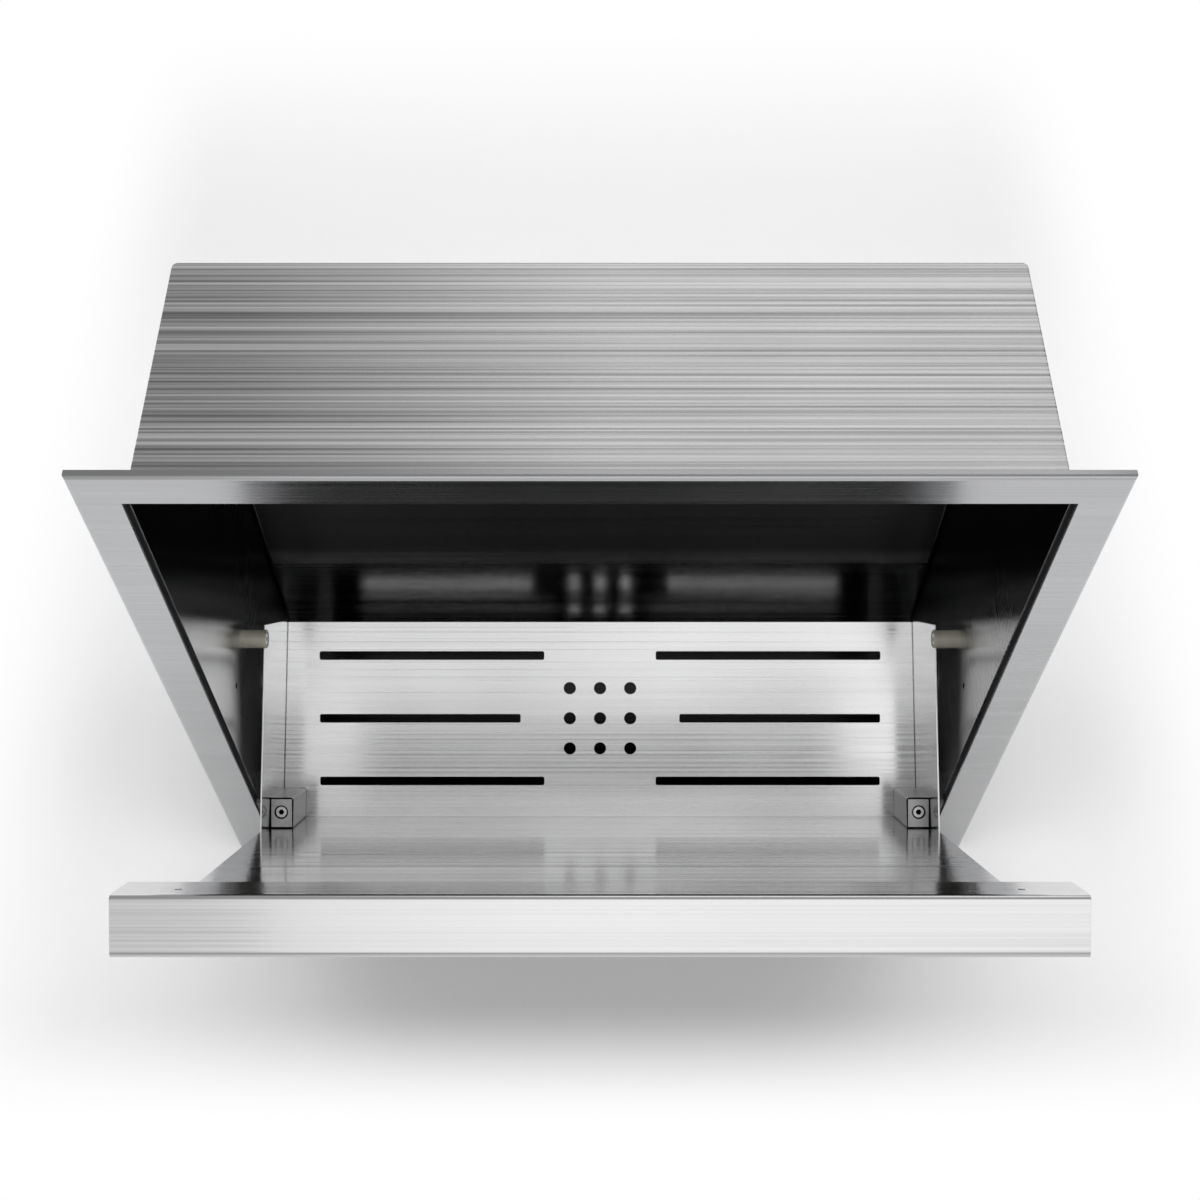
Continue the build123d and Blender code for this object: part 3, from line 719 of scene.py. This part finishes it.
def block_edges(tree, place, grain, node):
    """Share that is 1 round a block's two ends and along the skin of the door; the lines where it meets
    the tray floor and the skin are painted shade.
    """
    low, high = turned_back_box(node)
    centred = calculate_vector(tree, "SUBTRACT", place, (low + high) / 2)
    folded = calculate_vector(tree, "ABSOLUTE", centred)
    to_face = calculate_vector(tree, "SUBTRACT", (high - low) / 2, folded)
    width = ramp(tree, grain, *NOISE_RANGE, 0.85 * BLOCK_EDGE_WIDTH, 1.15 * BLOCK_EDGE_WIDTH)
    near_side, near_depth, near_end = [
        calculate(tree, "LESS_THAN", distance, width) for distance in split(tree, to_face)
    ]
    near_skin = calculate(tree, "LESS_THAN", split(tree, place)[1], low.y + BLOCK_EDGE_WIDTH)
    round_ends = calculate(tree, "MULTIPLY", near_end, calculate(tree, "MAXIMUM", near_side, near_depth))
    return calculate(tree, "MAXIMUM", round_ends, calculate(tree, "MULTIPLY", near_skin, near_side))


def near_screw_axis(tree, share):
    """Share that is 1 within a share of the clamp screw's head radius from its axis."""
    low, high = turned_back_box("clamp_screws")
    radius = (high.y - low.y) / 2
    x, y, z = object_axes(tree, OPEN_ANGLE)
    sideways = calculate(tree, "SUBTRACT", x, high.x - radius)
    forwards = calculate(tree, "SUBTRACT", y, low.y + radius)
    apart = add_node(tree, "ShaderNodeCombineXYZ", {0: sideways, 1: forwards}).outputs[0]
    distance = add_node(tree, "ShaderNodeVectorMath", {0: apart}, operation="LENGTH").outputs["Value"]
    return calculate(tree, "LESS_THAN", distance, radius * share)


def screw_socket(tree):
    """Share that is 1 inside the clamp screw's socket, where painted shade goes."""
    top = turned_back_box("clamp_screws")[1].z
    z = object_axes(tree, OPEN_ANGLE)[2]
    sunk = calculate(tree, "LESS_THAN", z, top - SOCKET_RIM)
    return calculate(tree, "MULTIPLY", near_screw_axis(tree, SOCKET_SHARE), sunk)


def satin_block(name, colour, line_and_shade_colour, node):
    """Satin cast metal of a hinge block, dark along its edges, with painted shade where it meets the floor
    and the skin and in the well of its screw.
    """
    material, tree, shader = start_material(name)
    place = object_place(tree, OPEN_ANGLE)
    grain = even_noise(tree, place, scale=1500.0, detail=3.0)
    patches = even_noise(tree, place, scale=110.0, detail=3.0)
    painted = mottled(tree, patches, colour, darker=0.85, lighter=1.15)
    edges = block_edges(tree, place, grain, node)
    lines_and_shade = calculate(tree, "MAXIMUM", edges, near_screw_axis(tree, WELL_SHARE))
    painted = blend_colours(tree, lines_and_shade, painted, line_and_shade_colour)
    gloss = ramp(tree, patches, *NOISE_RANGE, out_low=0.3, out_high=0.42)
    lay_surface(tree, shader, painted, gloss, grain, depth=0.25)
    shader.inputs["Metallic"].default_value = 0.85
    return material


class STORAGEDOOR_OT_finish_hinges(Operator):
    """Finish the hinge blocks, bearing plates and bushes"""

    bl_idname = "storage_door.finish_hinges"
    bl_label = "Hinge blocks and pivots"

    def execute(self, context):
        fittings = context.scene.storage_door_fittings
        for name in HINGE_BLOCKS:
            finish = satin_block(name + "_satin", fittings.block_colour, fittings.block_line_and_shade_colour, name)
            dress([name], finish)
        dress(PIVOT_BEARINGS, moulded_plastic("bearing_black_plastic", fittings.bearing_colour))
        dress(PIVOT_BUSHES, moulded_plastic("bush_pale_plastic", fittings.bush_colour))
        return {"FINISHED"}


class STORAGEDOOR_OT_finish_stops(Operator):
    """Finish the clear stop sleeves"""

    bl_idname = "storage_door.finish_stops"
    bl_label = "Stop sleeves"

    def execute(self, context):
        fittings = context.scene.storage_door_fittings
        dress(STOP_SLEEVES, clear_plastic("stop_clear_plastic", fittings.stop_colour))
        return {"FINISHED"}


class STORAGEDOOR_OT_finish_fasteners(Operator):
    """Plate the screws, pins, nuts and rivets"""

    bl_idname = "storage_door.finish_fasteners"
    bl_label = "Fasteners"

    def execute(self, context):
        fittings = context.scene.storage_door_fittings
        dress(FASTENERS, plated_steel("fastener_plated_steel", fittings.fastener_colour))
        socketed = plated_steel("clamp_screw_plated_steel", fittings.fastener_colour, OPEN_ANGLE)
        # Painted shade in the clamp screw's socket.
        paint_light_and_shade(socketed, screw_socket(socketed.node_tree), fittings.block_line_and_shade_colour, dulling=0.4)
        dress(["clamp_screws"], socketed)
        return {"FINISHED"}


# Studio

def seen_directly(tree):
    """Share that is 1 where the camera sees a surface, also in a mirror or through plastic."""
    path = add_node(tree, "ShaderNodeLightPath").outputs
    seen = calculate(tree, "ADD", path["Is Camera Ray"], path["Is Glossy Ray"], clamp=True)
    return calculate(tree, "ADD", seen, path["Is Transmission Ray"], clamp=True)


def floor_kept(tree, studio):
    """Share that is 1 on the floor near the unit and 0 where the floor is plain white."""
    x, y, z = object_axes(tree)
    forward = calculate(tree, "MULTIPLY", y, -1.0)
    kept = ramp(tree, forward, *studio.front_fade, 1.0, 0.0, smooth=True)
    for distance, fade in ((x, studio.side_fade), (y, studio.rear_fade)):
        kept = calculate(tree, "MULTIPLY", kept, ramp(tree, distance, *fade, 1.0, 0.0, smooth=True))
    return kept


def studio_floor(name, studio):
    """Matt floor that keeps the door's shadow and clears to plain white further out."""
    material, tree, shader = start_material(name)
    grain = even_noise(tree, object_place(tree), scale=40.0, detail=4.0)
    painted = mottled(tree, grain, studio.floor_colour, darker=0.995, lighter=1.005)
    tree.links.new(painted, shader.inputs["Base Color"])
    shader.inputs["Roughness"].default_value = 0.9
    shader.inputs["Specular IOR Level"].default_value = 0.1
    clear = calculate(tree, "SUBTRACT", 1.0, floor_kept(tree, studio))
    share = calculate(tree, "MULTIPLY", clear, seen_directly(tree))
    white = add_node(tree, "ShaderNodeEmission", {"Color": WHITE, "Strength": 1.0})
    surface = add_node(tree, "ShaderNodeMixShader", {0: share, 1: shader.outputs[0], 2: white.outputs[0]})
    output = find_node(tree, "OUTPUT_MATERIAL")
    tree.links.new(surface.outputs[0], output.inputs["Surface"])
    return material


def add_floor(studio):
    """Pale floor under the unit."""
    mesh = bmesh.new()
    bmesh.ops.create_circle(mesh, cap_ends=True, radius=FLOOR_RADIUS, segments=FLOOR_SEGMENTS)
    bmesh.ops.translate(mesh, verts=mesh.verts, vec=(0.0, 0.0, FLOOR_LEVEL))
    data = bpy.data.meshes.new("studio_floor")
    mesh.to_mesh(data)
    mesh.free()
    floor = bpy.data.objects.new("studio_floor", data)
    bpy.context.scene.collection.objects.link(floor)
    data.materials.append(studio_floor("studio_pale_floor", studio))


def add_soft_light(name, place, target, size, power, mirrored=True):
    """Rectangular soft light that looks at a point, and that metal may mirror."""
    lamp = bpy.data.lights.new(name, "AREA")
    lamp.shape = "RECTANGLE"
    lamp.size, lamp.size_y = size
    lamp.energy = power
    light = bpy.data.objects.new(name, lamp)
    light.location = place
    light.visible_glossy = mirrored
    light.rotation_euler = (Vector(target) - Vector(place)).to_track_quat("-Z", "Y").to_euler()
    bpy.context.scene.collection.objects.link(light)
    return lamp


def soften_end(lamp):
    """Let a soft light fade out towards its left end, as seen from the door's front."""
    lamp.use_nodes = True
    tree = lamp.node_tree
    across = split(tree, add_node(tree, "ShaderNodeNewGeometry").outputs["Parametric"])[0]
    level = ramp(tree, across, *REAR_FADE, *REAR_LEVELS, smooth=True)
    tree.links.new(level, find_node(tree, "EMISSION").inputs["Strength"])


def add_world(level, front_share):
    """Room that is white at the horizon, pale in front, less so on the left, and grey behind."""
    world = bpy.data.worlds.new("studio_room")
    world.use_nodes = True
    tree = world.node_tree
    tree.nodes.clear()
    x, y, z = split(tree, add_node(tree, "ShaderNodeTexCoord").outputs["Generated"])
    horizon = ramp(tree, z, *HORIZON, smooth=True)
    front = ramp(tree, y, *FRONT_WAY, 0.0, front_share, smooth=True)
    front = calculate(tree, "MULTIPLY", front, ramp(tree, x, *LEFT_WAY, LEFT_SHARE, 1.0, smooth=True))
    pale = calculate(tree, "MAXIMUM", horizon, front)
    white = calculate(tree, "MULTIPLY", pale, seen_directly(tree))
    strength = ramp(tree, white, 0.0, 1.0, level, 1.0)
    background = add_node(tree, "ShaderNodeBackground", {"Color": WHITE, "Strength": strength})
    add_node(tree, "ShaderNodeOutputWorld", {"Surface": background.outputs[0]})
    bpy.context.scene.world = world


def add_camera(studio):
    """Camera at the photograph's place."""
    lens = bpy.data.cameras.new("studio_camera")
    lens.lens = studio.camera_lens
    lens.sensor_width = 36.0
    lens.clip_start = 0.01
    camera = bpy.data.objects.new("studio_camera", lens)
    camera.location = studio.camera_place
    camera.rotation_euler = (math.pi / 2 - studio.camera_pitch, 0.0, 0.0)
    bpy.context.scene.collection.objects.link(camera)
    bpy.context.scene.camera = camera


class STORAGEDOOR_OT_build_studio(Operator):
    """Add the pale floor, the soft lights, the room and the camera"""

    bl_idname = "storage_door.build_studio"
    bl_label = "Studio"

    def execute(self, context):
        studio = context.scene.storage_door_studio
        add_floor(studio)
        add_soft_light("floor_light", *FLOOR_LIGHT, studio.floor_power, mirrored=False)
        add_soft_light("front_light", *FRONT_LIGHT, studio.front_power)
        soften_end(add_soft_light("rear_light", *REAR_LIGHT, studio.rear_power))
        add_world(studio.world_level, studio.front_share)
        add_camera(studio)
        context.scene.view_settings.view_transform = "Standard"
        return {"FINISHED"}


# Sidebar and start

FINISHES = (
    STORAGEDOOR_OT_finish_frame,
    STORAGEDOOR_OT_finish_liner,
    STORAGEDOOR_OT_finish_door,
    STORAGEDOOR_OT_finish_tray,
    STORAGEDOOR_OT_finish_hinges,
    STORAGEDOOR_OT_finish_stops,
    STORAGEDOOR_OT_finish_fasteners,
    STORAGEDOOR_OT_build_studio,
)
SETTINGS = {
    "storage_door_steel": StorageDoorSteel,
    "storage_door_fittings": StorageDoorFittings,
    "storage_door_studio": StorageDoorStudio,
}


class STORAGEDOOR_PT_panel(Panel):
    """Lists the finishes and their settings"""

    bl_idname = "STORAGEDOOR_PT_panel"
    bl_label = "Storage door"
    bl_space_type = "VIEW_3D"
    bl_region_type = "UI"
    bl_category = "Storage door"

    def draw(self, context):
        for operator in FINISHES:
            self.layout.operator(operator.bl_idname)
        for settings in SETTINGS:
            box = self.layout.box()
            group = getattr(context.scene, settings)
            for name in group.__annotations__:
                box.prop(group, name)


CLASSES = (*SETTINGS.values(), *FINISHES, STORAGEDOOR_PT_panel)


def register():
    """Register the classes and hang the settings on the scene."""
    for item in CLASSES:
        bpy.utils.register_class(item)
    for name, group in SETTINGS.items():
        setattr(bpy.types.Scene, name, PointerProperty(type=group))


def unregister():
    """Take the settings and classes away again."""
    for name in SETTINGS:
        delattr(bpy.types.Scene, name)
    for item in reversed(CLASSES):
        bpy.utils.unregister_class(item)


def main():
    """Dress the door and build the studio."""
    register()
    bpy.ops.storage_door.finish_frame()
    bpy.ops.storage_door.finish_liner()
    bpy.ops.storage_door.finish_door()
    bpy.ops.storage_door.finish_tray()
    bpy.ops.storage_door.finish_hinges()
    bpy.ops.storage_door.finish_stops()
    bpy.ops.storage_door.finish_fasteners()
    bpy.ops.storage_door.build_studio()


if __name__ == "__main__":
    main()
